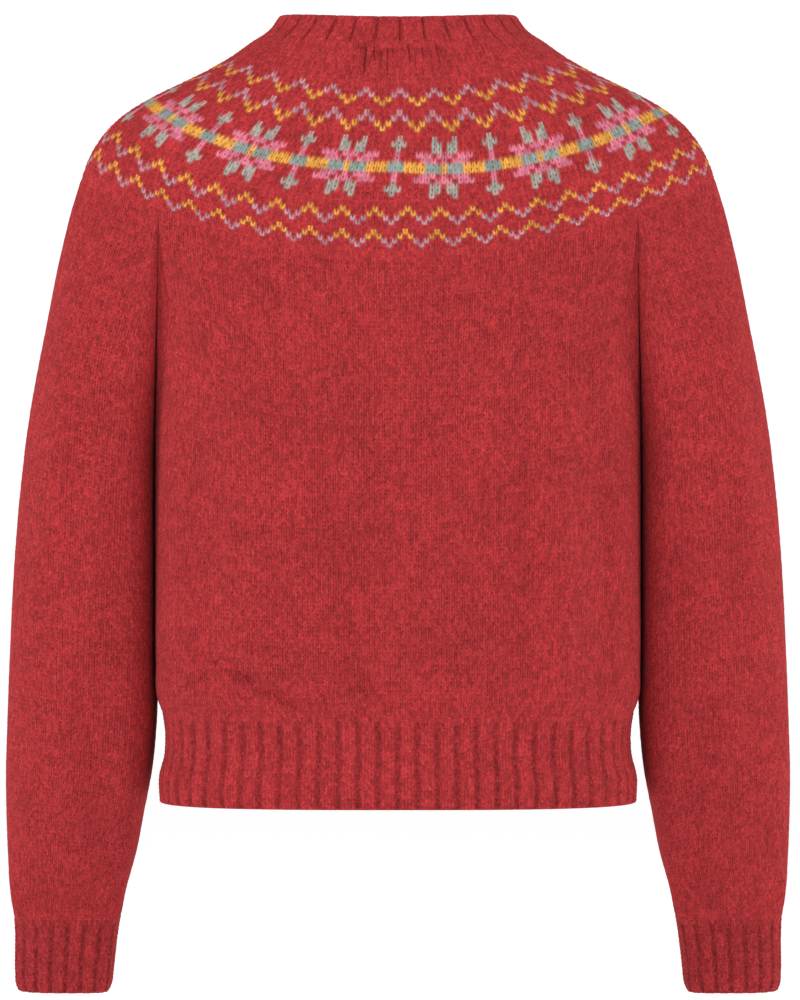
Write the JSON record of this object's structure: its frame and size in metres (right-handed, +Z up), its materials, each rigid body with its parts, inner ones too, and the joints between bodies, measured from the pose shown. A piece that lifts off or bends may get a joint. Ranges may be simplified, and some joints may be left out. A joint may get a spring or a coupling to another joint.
{
  "type": "fair isle sweater",
  "caption": "Red knitted jumper with a circular yoke patterned in stars and zigzags, long hanging sleeves, and a ribbed neckband, hem and cuffs, filled out as worn.",
  "frame": {"origin": "between the wearer's shoulders, on the centre line, 26 mm below the back of the neckband's seam", "axes": "+Z up the wearer's body, +X to the wearer's right, +Y out of the wearer's front. The back of the garment, the side the picture shows, faces -Y."},
  "size_m": [0.553, 0.2271, 0.685],
  "materials": {
    "knit_lambswool": "matt brushed lambswool in plain stitch, red",
    "rib_lambswool": "matt brushed lambswool rib, red",
    "yoke_lambswool": "matt brushed lambswool, red ground with mustard, pink, lilac, teal and grey-green pattern yarns"
  },
  "bodies": {
    "root": {"neckband": "rib_lambswool", "yoke": "yoke_lambswool", "body_back": "knit_lambswool", "body_front": "knit_lambswool", "hem_rib": "rib_lambswool", "sleeve_left": "knit_lambswool", "sleeve_right": "knit_lambswool", "cuff_left": "rib_lambswool", "cuff_right": "rib_lambswool"}
  },
  "joints": []
}
